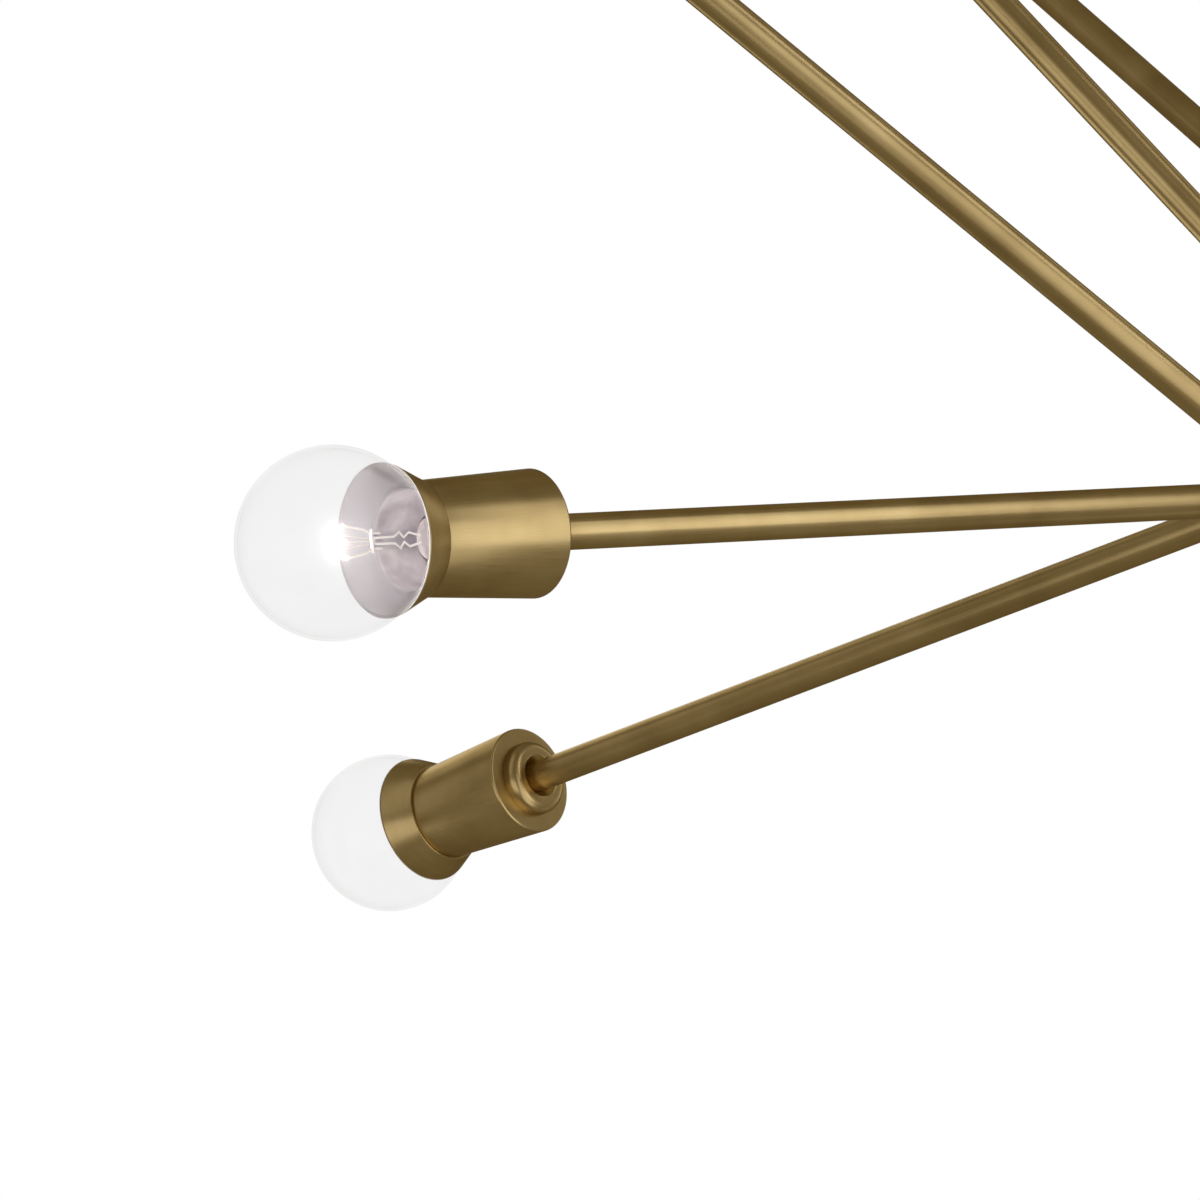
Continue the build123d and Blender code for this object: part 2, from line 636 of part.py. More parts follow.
with BuildPart() as mount:
    with BuildSketch(Plane.XY.offset(-base_seat)):
        Circle(STEM_GLASS_RADIUS)
    extrude(amount=base_seat - STEM_GLASS_TOP)
    lead_foot = Vector(0, STEM_GLASS_RADIUS - LEAD_RADIUS, -STEM_GLASS_TOP)
    filament = [
        Vector(0, FILAMENT_SPAN * step / 4, FILAMENT_RISE * (step % 2) - FILAMENT_PLACE)
        for step in range(-2, 3)
    ]
    mirrored_foot = Vector(0, -lead_foot.Y, lead_foot.Z)
    wire_points = [mirrored_foot, *filament, lead_foot]
    for start, end in zip(wire_points, wire_points[1:]):
        with BuildSketch(Plane(origin=start, x_dir=(1, 0, 0), z_dir=end - start)):
            RegularPolygon(LEAD_RADIUS, 6)
        extrude(amount=(end - start).length)

for number, socket in enumerate(SOCKETS, start=1):
    lamp = socket.offset(globe_centre)
    with BuildPart() as placed_globe:
        with Locations(lamp):
            add(globe.part)
    save(placed_globe, f"lamp_{number}_globe")
    with BuildPart() as placed_base:
        with Locations(lamp):
            add(base.part)
            add(mount.part)
    save(placed_base, f"lamp_{number}_base")
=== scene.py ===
"""Visual model of the starburst chandelier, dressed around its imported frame. Metres, +Z up."""
import json
from math import atan2, cos, hypot, pi, radians, sin, sqrt, tan

import bmesh
import bpy
from mathutils import Matrix, Vector


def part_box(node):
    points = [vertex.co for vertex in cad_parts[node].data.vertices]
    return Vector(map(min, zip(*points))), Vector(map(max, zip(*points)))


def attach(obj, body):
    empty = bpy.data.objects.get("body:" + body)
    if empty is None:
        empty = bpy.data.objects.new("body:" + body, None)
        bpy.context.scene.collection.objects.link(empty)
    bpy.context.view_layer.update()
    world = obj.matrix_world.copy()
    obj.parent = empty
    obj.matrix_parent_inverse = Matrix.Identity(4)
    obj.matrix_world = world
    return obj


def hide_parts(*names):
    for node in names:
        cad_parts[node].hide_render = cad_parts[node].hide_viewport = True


MM = 0.001
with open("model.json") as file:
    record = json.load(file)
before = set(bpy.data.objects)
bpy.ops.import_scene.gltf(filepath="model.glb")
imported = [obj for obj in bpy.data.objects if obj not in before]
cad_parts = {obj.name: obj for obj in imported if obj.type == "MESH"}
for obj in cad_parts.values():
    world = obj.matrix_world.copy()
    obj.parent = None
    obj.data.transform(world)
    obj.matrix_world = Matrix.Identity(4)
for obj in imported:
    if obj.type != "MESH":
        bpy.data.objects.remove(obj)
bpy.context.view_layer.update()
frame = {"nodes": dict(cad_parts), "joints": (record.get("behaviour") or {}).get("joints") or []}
nodes = frame["nodes"]
scene = bpy.context.scene

LAMPS = 10

# Sizes of the socket, in millimetres
SEAT_GAP = 0.05
LAMP_GAP = 0.3
FINE_EDGE = 0.2
SOFT_EDGE = 0.3
TUBE_RADIUS = 5.0
TUBE_BORE = 4.0
TUBE_GRIP = 6.0           # arm end inside the lampholder
CUP_BACK_RADIUS = 17.7
CUP_FRONT_RADIUS = 15.7
CUP_BACK_WALL = 1.6
CUP_BACK_EDGE = 0.7
CUP_FRONT_EDGE = 0.25
CUP_BORE = 14.1
SPIGOT_RADIUS = 15.0
SPIGOT_LENGTH = 2.6
RING_LENGTH = 10.2
RING_REAR_RADIUS = 16.4
RING_LIP_RADIUS = 21.0
RING_LIP = 0.8
BOSS_RADIUS = 12.2
BOSS_HEIGHT = 5.2
BOSS_EDGE = 3.0
BOSS_DISH = 7.2           # radius of the hollow round the arm
BOSS_DISH_DEPTH = 2.2
BOSS_DISH_EDGE = 1.0
LINER = 0.12              # pale lining inside the cup and ring
LIP_STAND = 0.4           # lining past the ring's lip
LINER_BORE = 13.6
LINER_STEP = 7.0          # depth of the step inside the lining
LINER_STEP_FILLET = 0.6
LINER_STEP_EDGE = 1.0
HOLDER_RADIUS = 11.8
HOLDER_FLOOR = 5.7
HOLDER_STEP = 1.2         # narrower collar at the lampholder's front
HOLDER_STEP_LENGTH = 6.0
HOLDER_EDGE = 0.4
HOLDER_FRONT_EDGE = 0.6
SHELL_RADIUS = 6.7
SHELL_BORE = 6.2
SHELL_FOOT = 1.0
SHELL_MOUTH = 1.5
SHELL_EDGE = 0.15
CONTACT_RADIUS = 2.6
CONTACT_HEIGHT = 1.2
CONTACT_EDGE = 0.4

# Sizes of the lamp, in millimetres
GLOBE_RADIUS = 26.2
GLASS_WALL = 0.8
GLASS_SEAT = 0.02
NECK_FLARE_RADIUS = 12.5
NECK_RADIUS = 6.6
SKIRT_RADIUS = 7.2
SKIRT_LENGTH = 2.5
SKIRT_RIM = 1.0
SKIRT_EDGE = 0.25
SKIRT_RIM_EDGE = 0.5
THREAD_LENGTH = 13.5
THREAD_ROOT = 5.45
THREAD_CREST = 6.05
THREAD_PITCH = 2.54
INSULATOR_LENGTH = 2.0
INSULATOR_INSET = 0.1     # inside the thread's root
INSULATOR_FOOT = 0.5      # round the tip
INSULATOR_EDGE = 0.4
TIP_RADIUS = 2.2
TIP_LENGTH = 1.1
TIP_EDGE = 0.8
STEM_RADIUS = 2.4
STEM_TOP = -13.0
STEM_TOP_EDGE = 1.2
STEM_FOOT_INSET = 1.3     # inside the neck
STEM_SHOULDER_INSET = 1.6
STEM_SHOULDER = 2.0       # height above the end of the glass
STEM_SHOULDER_FILLET = 2.0
STEM_THROAT = 9.0         # height above the end of the glass
STEM_THROAT_FILLET = 4.0
FLARE_FOOT = 0.5          # height above the end of the glass
FLARE_SHOULDER = 1.0      # height above the end of the neck
FLARE_SHOULDER_EDGE = 0.6
FLARE_TOP = 2.6           # height above the end of the neck
FLARE_TOP_EDGE = 0.8
PRESS_RADIUS = 0.6        # pinched glass at the top of the stem
PRESS_REACH = 3.2
FILAMENT_SPAN = 8.8
FILAMENT_RISE = 4.6
FILAMENT_PLACE = 4.2
ZIGZAG_HALF = 2           # runs of the zigzag on each side of its middle
COIL_RADIUS = 0.42
COIL_WIRE = 0.16
COIL_TURNS = 7            # for each run of the zigzag
LEAD_WIRE = 0.32
LEAD_ROOT = 3.0           # length inside the stem
LEAD_SPREAD = 1.2
LEAD_BEND = 2.5           # height of the bend above the stem
SUPPORT_WIRE = 0.4 * LEAD_WIRE
SUPPORT_ROOT = 1.0        # length inside the stem
SUPPORT_ROOT_SHARE = 0.12  # spread at the root, as a share of that at the coil
SUPPORT_BEND = 2.0        # height of the bend above the stem
SUPPORT_BEND_SHARE = 0.4
# Points of the inner lead: out from the axis, and below the stem's top
INNER_LEAD = ((0.8, 0.0), (0.9, 7.5), (2.2, 9.2), (0.6, 10.6), (1.9, 12.4), (1.0, 16.0))

# Sizes of the set screw, in millimetres
SCREW_RADIUS = 1.5
SCREW_LENGTH = 2.25
SCREW_HEX = 0.8
SCREW_DEPTH = 1.3
SCREW_FOOT_EDGE = 0.3
SCREW_TOP_EDGE = 0.2
SCREW_PLACE = 9.0         # from the arm's inner end

# Heights on the lamp, from the globe's centre
neck_join = -sqrt(GLOBE_RADIUS**2 - NECK_FLARE_RADIUS**2)
neck_bend = (NECK_FLARE_RADIUS - NECK_RADIUS) / (1 - NECK_FLARE_RADIUS / GLOBE_RADIUS)
neck_end = neck_join * (1 + neck_bend / GLOBE_RADIUS)
glass_end = neck_end - SKIRT_LENGTH
skirt_end = glass_end - SKIRT_RIM
thread_end = glass_end - THREAD_LENGTH
tip_top = thread_end - INSULATOR_LENGTH
tip_end = tip_top - TIP_LENGTH

# Heights on the socket, from the back of the cup
tube_end = CUP_BACK_WALL + TUBE_GRIP
contact_bottom = tube_end + HOLDER_FLOOR
contact_top = contact_bottom + CONTACT_HEIGHT
globe_place = contact_top + LAMP_GAP - tip_end
holder_front = globe_place + skirt_end - LAMP_GAP
holder_step = holder_front - HOLDER_STEP_LENGTH
shell_back = contact_top + SHELL_FOOT
shell_front = holder_front - SHELL_MOUTH
ring_mouth = RING_LIP_RADIUS - RING_LIP
ring_lip_end = globe_place - sqrt((GLOBE_RADIUS + LAMP_GAP)**2 - ring_mouth**2)
liner_step = ring_lip_end - LINER_STEP
cup_length = ring_lip_end - RING_LENGTH
spigot_end = cup_length + SPIGOT_LENGTH

# Segments of curved faces
ROUND = 96
ROUND_TUBE = 64
ROUND_SMALL = 40
ROUND_SCREW = 24
ROUND_PRESS = 12
ROUND_WIRE = 8
ROUND_COIL = 4
FILLET_STEPS = 6
BALL_STEPS = 40
NECK_STEPS = 12
THREAD_STEPS = 12         # for each turn
COIL_STEPS = 8            # for each turn

# Angles in degrees past which an edge is shaded sharp
SHARP = 35.0
SHARP_WIRE = 60.0
SHARP_SCREW = 30.0


# Meshes
def finish_mesh(name, bm, sharp=SHARP):
    """Mesh of the drawn faces, shaded smooth up to the sharp angle."""
    mesh = bpy.data.meshes.new(name)
    bmesh.ops.recalc_face_normals(bm, faces=bm.faces)
    bm.to_mesh(mesh)
    bm.free()
    mesh.shade_smooth()
    mesh.set_sharp_from_angle(angle=radians(sharp))
    return mesh


def rounded(corners):
    """Profile through corners (radius, height, fillet), with an arc at each fillet."""
    points = []
    count = len(corners)
    for i, (r, z, fillet) in enumerate(corners):
        here = Vector((r, z))
        if not fillet:
            points.append(here)
            continue
        back = (Vector(corners[i - 1][:2]) - here).normalized()
        ahead = (Vector(corners[(i + 1) % count][:2]) - here).normalized()
        half = back.angle(ahead) / 2
        centre = here + (back + ahead).normalized() * (fillet / sin(half))
        start = here + back * (fillet * cos(half) / sin(half)) - centre
        end = here + ahead * (fillet * cos(half) / sin(half)) - centre
        turn = start.angle_signed(end)
        for k in range(FILLET_STEPS + 1):
            a = -turn * k / FILLET_STEPS
            points.append(centre + Vector((start.x * cos(a) - start.y * sin(a),
                                           start.x * sin(a) + start.y * cos(a))))
    return points


def circle(bm, radius, height, sides):
    """Ring of points about the local Z axis, from millimetres."""
    angles = [2 * pi * k / sides for k in range(sides)]
    return [bm.verts.new((radius * cos(a) * MM, radius * sin(a) * MM, height * MM)) for a in angles]


def skin(bm, pairs):
    """Faces between each pair of rings; a ring of one point is an apex."""
    for a, b in pairs:
        sides = max(len(a), len(b))
        if sides == 1:
            continue
        for k in range(sides):
            n = (k + 1) % sides
            corners = [a[k % len(a)], a[n % len(a)], b[n % len(b)], b[k % len(b)]]
            bm.faces.new(list(dict.fromkeys(corners)))


def capped(name, bm, rings, sharp):
    """Solid through rings of points, flat at both ends."""
    skin(bm, zip(rings, rings[1:]))
    bm.faces.new(rings[0])
    bm.faces.new(rings[-1])
    return finish_mesh(name, bm, sharp)


def lathe(name, profile, sides=ROUND, closed=True):
    """Turned solid: a profile of (radius, height) millimetres about the local Z axis."""
    bm = bmesh.new()
    rings = [circle(bm, r, z, sides if r > 0 else 1) for r, z in profile]
    pairs = list(zip(rings, rings[1:]))
    if closed:
        pairs.append((rings[-1], rings[0]))
    skin(bm, pairs)
    return finish_mesh(name, bm)


def threaded(name, z_low, z_high, root, crest, pitch):
    """Rolled thread with rounded crests, faded out at both ends."""
    bm = bmesh.new()
    steps = int((z_high - z_low) / pitch * THREAD_STEPS)
    rings = []
    for i in range(steps + 1):
        z = z_low + (z_high - z_low) * i / steps
        fade = min(1.0, (z - z_low) / pitch, (z_high - z) / pitch)
        ring = []
        for k in range(ROUND_SMALL):
            a = 2 * pi * k / ROUND_SMALL
            wave = (1 + cos(2 * pi * z / pitch - a)) / 2
            r = root + (crest - root) * wave * fade
            ring.append(bm.verts.new((r * cos(a) * MM, r * sin(a) * MM, z * MM)))
        rings.append(ring)
    return capped(name, bm, rings, SHARP_WIRE)


def wire(name, path, radius, sides=ROUND_WIRE):
    """Round wire along a path of millimetre points."""
    bm = bmesh.new()
    rings = []
    points = [Vector(p) for p in path]
    side = Vector((1, 0, 0))
    for i, p in enumerate(points):
        ahead = (points[min(i + 1, len(points) - 1)] - points[max(i - 1, 0)]).normalized()
        side = (side - ahead * side.dot(ahead)).normalized()
        other = ahead.cross(side)
        angles = [2 * pi * k / sides for k in range(sides)]
        rings.append([bm.verts.new((p + (side * cos(a) + other * sin(a)) * radius) * MM) for a in angles])
    return capped(name, bm, rings, SHARP_WIRE)


def set_screw(name):
    """Set screw with a hexagon socket, along its own axis from the tube outward."""
    bm = bmesh.new()
    rings = [circle(bm, r, z, ROUND_SCREW) for r, z in (
        (SCREW_RADIUS - SCREW_FOOT_EDGE, 0),
        (SCREW_RADIUS, SCREW_FOOT_EDGE),
        (SCREW_RADIUS, SCREW_LENGTH - SCREW_TOP_EDGE),
        (SCREW_RADIUS - SCREW_TOP_EDGE, SCREW_LENGTH))]
    flat = pi / 3
    for z in (SCREW_LENGTH, SCREW_LENGTH - SCREW_DEPTH):
        ring = []
        for k in range(ROUND_SCREW):
            a = 2 * pi * k / ROUND_SCREW
            reach = SCREW_HEX * cos(flat / 2) / cos(a % flat - flat / 2)
            ring.append(bm.verts.new((reach * cos(a) * MM, reach * sin(a) * MM, z * MM)))
        rings.append(ring)
    return capped(name, bm, rings, SHARP_SCREW)


# Materials
NOISE_ROUGHNESS = 0.55
NOISE_RANGE = (0.3, 0.7)  # where most of a noise's values lie
MOTTLE_RANGE = (0.35, 0.65)
BUMP_DISTANCE = 0.0002    # metres


class Graph:
    """A material's node tree, with its sockets set by name."""

    def __init__(self, name):
        self.material = bpy.data.materials.new(name)
        self.material.use_nodes = True
        self.tree = self.material.node_tree
        self.shader = self.tree.nodes["Principled BSDF"]
        self.output = self.tree.nodes["Material Output"]

    def set(self, node, **sockets):
        for key, value in sockets.items():
            socket = node.inputs[key.replace("_", " ")]
            if isinstance(value, bpy.types.NodeSocket):
                self.tree.links.new(value, socket)
            else:
                socket.default_value = value
        return node

    def add(self, kind, props=None, **sockets):
        node = self.tree.nodes.new("ShaderNode" + kind)
        for key, value in (props or {}).items():
            setattr(node, key, value)
        return self.set(node, **sockets)

    def noise(self, scale, detail=3.0, stretch=(1, 1, 1)):
        """Noise in the piece's own coordinates, drawn out where the stretch is small."""
        place = self.add("TexCoord").outputs["Object"]
        mapped = self.add("Mapping", Vector=place, Scale=stretch).outputs["Vector"]
        made = self.add("TexNoise", Vector=mapped, Scale=scale, Detail=detail, Roughness=NOISE_ROUGHNESS)
        return made.outputs["Fac"]

    def ramp(self, value, *stops):
        node = self.add("ValToRGB", Fac=value)
        elements = node.color_ramp.elements
        while len(elements) < len(stops):
            elements.new(0.5)
        for element, (place, colour) in zip(elements, stops):
            element.position = place
            element.color = (*colour, 1.0)
        return node.outputs["Color"]

    def mottle(self, value, dark, light):
        """Two tones that meet in the middle of the noise's range."""
        start, end = MOTTLE_RANGE
        return self.ramp(value, (start, dark), (end, light))

    def spread(self, value, low, high, given=NOISE_RANGE):
        """Values of the given range, moved to lie between low and high."""
        start, end = given
        node = self.add("MapRange", Value=value)
        self.set(node, From_Min=start, From_Max=end, To_Min=low, To_Max=high)
        return node.outputs["Result"]

    def blend(self, a, b, share):
        """a and b mixed, with that share of b."""
        part = self.add("Math", {"operation": "MULTIPLY"})
        self.tree.links.new(b, part.inputs[0])
        part.inputs[1].default_value = share
        total = self.add("Math", {"operation": "MULTIPLY_ADD"})
        self.tree.links.new(a, total.inputs[0])
        total.inputs[1].default_value = 1 - share
        self.tree.links.new(part.outputs[0], total.inputs[2])
        return total.outputs[0]

    def bump(self, height, strength, distance=BUMP_DISTANCE):
        made = self.add("Bump", Height=height, Strength=strength, Distance=distance)
        self.set(self.shader, Normal=made.outputs["Normal"])

    def keep_unsampled(self):
        """A faint glow is only seen, and isn't searched for as a light."""
        self.material.cycles.emission_sampling = "NONE"


BRASS_DARK = (0.44, 0.325, 0.150)
BRASS_MID = (0.56, 0.425, 0.205)
BRASS_LIGHT = (0.66, 0.515, 0.265)
BRASS_EDGE = (0.68, 0.61, 0.48, 1)
BRASS_ROUGH = (0.27, 0.33)
ALONG = (1, 1, 0.02)      # streaks that run along the local Z axis
AROUND = (0.03, 0.03, 1)  # streaks that lie across it


def brass(name, stretch):
    """Satin antique brass with fine brushing, a mottled lacquer tone and faint rubbed patches."""
    g = Graph(name)
    fine = g.noise(scale=2400.0, detail=4.0, stretch=stretch)
    coarse = g.noise(scale=420.0, stretch=stretch)
    patch = g.noise(scale=38.0)
    streak = g.blend(fine, coarse, share=0.25)
    tone = g.blend(streak, patch, share=0.7)
    colour = g.ramp(tone, (0.30, BRASS_DARK), (0.50, BRASS_MID), (0.70, BRASS_LIGHT))
    g.set(g.shader, Base_Color=colour, Metallic=1.0, Roughness=g.spread(streak, *BRASS_ROUGH),
          Specular_Tint=BRASS_EDGE)
    g.bump(coarse, strength=0.03, distance=0.0001)
    return g.material


def steel(name):
    """Zinc plated steel with a faint crystalline mottle."""
    g = Graph(name)
    cloud = g.noise(scale=160.0, detail=4.0)
    grain = g.noise(scale=1500.0)
    colour = g.mottle(cloud, (0.46, 0.47, 0.48), (0.66, 0.67, 0.66))
    g.set(g.shader, Base_Color=colour, Metallic=1.0, Roughness=g.spread(grain, 0.26, 0.42))
    g.bump(grain, strength=0.08)
    return g.material


def plated(name, dark, light, rough=(0.16, 0.30)):
    """Bright plated sheet metal, slightly uneven."""
    g = Graph(name)
    cloud = g.noise(scale=120.0)
    grain = g.noise(scale=1300.0, detail=2.0, stretch=AROUND)
    g.set(g.shader, Base_Color=g.mottle(cloud, dark, light), Metallic=1.0,
          Roughness=g.spread(grain, *rough))
    g.bump(grain, strength=0.06)
    return g.material


def moulded(name, dark, light, rough=(0.42, 0.58), glow=0.0):
    """Moulded piece with a fine satin skin; where it glows, the glow is painted light in place of light
    falling on it.
    """
    g = Graph(name)
    cloud = g.noise(scale=90.0)
    grain = g.noise(scale=2200.0)
    colour = g.mottle(cloud, dark, light)
    g.set(g.shader, Base_Color=colour, Roughness=g.spread(grain, *rough))
    if glow:
        g.set(g.shader, Emission_Color=colour, Emission_Strength=glow)
        g.keep_unsampled()
    g.bump(grain, strength=0.12)
    return g.material


def painted(name, dark, light):
    """Thin enamel with worn patches."""
    g = Graph(name)
    wear = g.noise(scale=500.0, detail=4.0)
    g.set(g.shader, Base_Color=g.mottle(wear, dark, light), Roughness=g.spread(wear, 0.32, 0.5))
    g.bump(wear, strength=0.08)
    return g.material


HEAD_ON_GLOSS = 0.004
GRAZING_GLOSS = 0.08
GRAZING_POWER = 5.0
STRIAE_DEPTH = 0.006


def film(name, clear, gloss_rough=0.02):
    """Thin clear glass: what lies behind shows through, with a reflection that grows at the edge."""
    g = Graph(name)
    striae = g.noise(scale=55.0, detail=2.0)
    tint = g.mottle(striae, tuple(c - STRIAE_DEPTH for c in clear), clear)
    through = g.add("BsdfTransparent", Color=tint)
    mirror = g.add("BsdfGlossy", Color=(1, 1, 1, 1), Roughness=gloss_rough)
    facing_away = g.add("LayerWeight", Blend=0.5).outputs["Facing"]
    grazing = g.add("Math", {"operation": "POWER"})
    g.tree.links.new(facing_away, grazing.inputs[0])
    grazing.inputs[1].default_value = GRAZING_POWER
    gloss = g.spread(grazing.outputs[0], HEAD_ON_GLOSS, GRAZING_GLOSS, given=(0.0, 1.0))
    mix = g.add("MixShader", Fac=gloss)
    g.tree.links.new(through.outputs[0], mix.inputs[1])
    g.tree.links.new(mirror.outputs[0], mix.inputs[2])
    g.tree.links.new(mix.outputs[0], g.output.inputs["Surface"])
    g.tree.nodes.remove(g.shader)
    return g.material


HOT_METAL = (0.3, 0.28, 0.26, 1)
GLOW_DARK = (1.0, 0.90, 0.84)
GLOW_LIGHT = (1.0, 0.96, 0.92)
FAINT_GLOW = 1.0


def glowing(name, strength):
    """Hot metal that gives off its own light: the coil; on the wires that hold it, a faint painted glow
    in place of the coil's light falling on them.
    """
    g = Graph(name)
    glow_tone = g.noise(scale=900.0, detail=2.0)
    start, end = NOISE_RANGE
    colour = g.ramp(glow_tone, (start, GLOW_DARK), (end, GLOW_LIGHT))
    g.set(g.shader, Base_Color=HOT_METAL, Metallic=1.0, Roughness=0.5,
          Emission_Color=colour, Emission_Strength=strength)
    if strength < FAINT_GLOW:
        g.keep_unsampled()
    return g.material


BRASS_ALONG = brass("brass_lengthwise", ALONG)
BRASS_TURNED = brass("brass_turned", AROUND)
STEEL = steel("zinc_plated_steel")
LINING = moulded("pale_lining", (0.84, 0.82, 0.90), (0.91, 0.89, 0.96), (0.16, 0.26))
# Lining deep in the bore, with a faint glow: painted light in place of the lamp's light falling there.
LINING_DEPTH_PAINTED_GLOW = moulded("pale_lining_depth_painted_glow", (0.56, 0.50, 0.54), (0.96, 0.90, 0.93), (0.10, 0.20), 0.22)
# Pale lip of the lining; its glow is a painted highlight along the rim.
PALE_LIP_PAINTED_HIGHLIGHT = moulded("pale_lip_painted_highlight", (0.88, 0.86, 0.88), (0.95, 0.93, 0.95), (0.16, 0.26), 0.6)
BASE_METAL = plated("lamp_base_metal", (0.58, 0.55, 0.50), (0.74, 0.71, 0.66))
CONTACT = plated("contact_brass", (0.55, 0.40, 0.16), (0.72, 0.55, 0.25))
SOLDER = plated("solder_tip", (0.50, 0.50, 0.50), (0.68, 0.68, 0.67), (0.3, 0.5))
# Pale stem flare and press, with a faint glow: painted light in place of the coil's light on them.
FLARE_GLASS_PAINTED_GLOW = moulded("pale_stem_flare_painted_glow", (0.84, 0.75, 0.77), (0.93, 0.85, 0.87), (0.12, 0.25), 0.25)
INSULATOR = moulded("pale_insulator", (0.74, 0.72, 0.72), (0.84, 0.82, 0.82))
BASE_GLASS = moulded("dark_base_glass", (0.010, 0.010, 0.013), (0.028, 0.027, 0.03), (0.08, 0.2))
EARTH_GREEN = painted("green_enamel", (0.02, 0.16, 0.05), (0.04, 0.26, 0.09))
GLOBE_GLASS = film("clear_globe_glass", (0.955, 0.955, 0.956))
GLOBE_INSIDE = film("globe_inner_face", (1.0, 1.0, 1.0))
STEM_GLASS = film("stem_glass", (0.985, 0.985, 0.99), 0.05)
FILAMENT = glowing("hot_filament", 95.0)
# Lead and support wires glow faintly: painted light in place of the coil's light on them.
WIRE_PAINTED_GLOW = glowing("lead_wire_painted_glow", 0.75)


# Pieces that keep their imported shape
def dress(material, *names):
    """Material for nodes that are shown as they were packed."""
    for name in names:
        mesh = nodes[name].data
        mesh.materials.clear()
        mesh.materials.append(material)


dress(BRASS_TURNED, "canopy", "canopy_collar", "hub_cap", "stem_coupling", "swivel_tongue")
dress(BRASS_ALONG, "upper_stem", "lower_stem", "hub", "swivel_yoke", "swivel_pin")
dress(STEEL, "mounting_bar", "nipple", "nipple_locknut", "swivel_nut")
dress(EARTH_GREEN, "earth_screw")


# Places, read from the frame
def arm_axis(number):
    """The arm's direction, and its inner and outer ends, from its packed box."""
    joint = next(j for j in frame["joints"] if j["name"] == f"lamp_{number}_unscrew")
    out = Vector(joint["axis"]).normalized()
    low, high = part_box(f"arm_{number}")
    centre = (low + high) / 2
    k = max(range(3), key=lambda i: abs(out[i]))
    half = (high[k] - centre[k] - TUBE_RADIUS * MM * sqrt(1 - out[k] ** 2)) / abs(out[k])
    return out, centre - out * half, centre + out * half


def hub_crossing(number):
    """Point where an arm's axis meets the hub's."""
    out, inner, _ = arm_axis(number)
    level = Vector((out.x, out.y, 0))
    return inner - out * (inner.dot(level) / level.length_squared)


def facing(out, place):
    """Local frame at a place, with Z along the arm and Y upward."""
    side = Vector((0, 0, 1)).cross(out).normalized()
    up = out.cross(side)
    turn = Matrix((side, up, out)).transposed().to_4x4()
    return Matrix.Translation(place) @ turn


def turned_mesh(mesh, place):
    """Copy of a mesh turned as the place is, and the place without its turn, for a close box."""
    copy = mesh.copy()
    copy.transform(place.to_3x3().to_4x4())
    return copy, Matrix.Translation(place.translation)


def put(name, mesh, material, place, body, replaced=None):
    """Piece at a place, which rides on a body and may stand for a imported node."""
    if not mesh.materials:
        mesh.materials.append(material)
    piece = bpy.data.objects.new(name, mesh)
    scene.collection.objects.link(piece)
    piece.matrix_world = place
    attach(piece, body)
    if replaced:
        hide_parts(replaced)
    return piece


# Shared meshes of the socket
cup_mesh = lathe("cup", rounded([
    (TUBE_RADIUS + SEAT_GAP, 0, 0),
    (CUP_BACK_RADIUS, 0, CUP_BACK_EDGE),
    (CUP_FRONT_RADIUS, cup_length, CUP_FRONT_EDGE),
    (SPIGOT_RADIUS, cup_length, 0),
    (SPIGOT_RADIUS, spigot_end, FINE_EDGE),
    (CUP_BORE, spigot_end, FINE_EDGE),
    (CUP_BORE, CUP_BACK_WALL, 0),
    (TUBE_RADIUS + SEAT_GAP, CUP_BACK_WALL, 0)]))
ring_mesh = lathe("ring", rounded([
    (SPIGOT_RADIUS + SEAT_GAP, cup_length + SEAT_GAP, 0),
    (RING_REAR_RADIUS, cup_length + SEAT_GAP, SOFT_EDGE),
    (RING_LIP_RADIUS, ring_lip_end, SOFT_EDGE),
    (ring_mouth, ring_lip_end, FINE_EDGE),
    (SPIGOT_RADIUS + SEAT_GAP, spigot_end, 0)]))
boss_mesh = lathe("boss", rounded([
    (TUBE_RADIUS + SEAT_GAP, BOSS_DISH_DEPTH - BOSS_HEIGHT, 0),
    (BOSS_DISH, -BOSS_HEIGHT, BOSS_DISH_EDGE),
    (BOSS_RADIUS, -BOSS_HEIGHT, BOSS_EDGE),
    (BOSS_RADIUS, -SEAT_GAP, 0),
    (TUBE_RADIUS + SEAT_GAP, -SEAT_GAP, 0)]))
flare_slope = (ring_mouth - SPIGOT_RADIUS) / (ring_lip_end - spigot_end)
step_radius = ring_mouth - 2 * LINER - flare_slope * LINER_STEP
liner_mesh = lathe("liner", rounded([
    (CUP_BORE - LINER, CUP_BACK_WALL + LINER, 0),
    (CUP_BORE - LINER, spigot_end + LINER, 0),
    (SPIGOT_RADIUS - LINER, spigot_end + LINER, 0),
    (ring_mouth - LINER, ring_lip_end + LINER, 0),
    (RING_LIP_RADIUS - SEAT_GAP, ring_lip_end + LINER, 0),
    (RING_LIP_RADIUS - SEAT_GAP, ring_lip_end + LIP_STAND, 0),
    (ring_mouth - 2 * LINER, ring_lip_end, 0),
    (step_radius, liner_step, LINER_STEP_FILLET),
    (LINER_BORE, liner_step, LINER_STEP_EDGE),
    (LINER_BORE, CUP_BACK_WALL + LINER, 0)]))
for material in (LINING, LINING_DEPTH_PAINTED_GLOW, PALE_LIP_PAINTED_HIGHLIGHT):
    liner_mesh.materials.append(material)
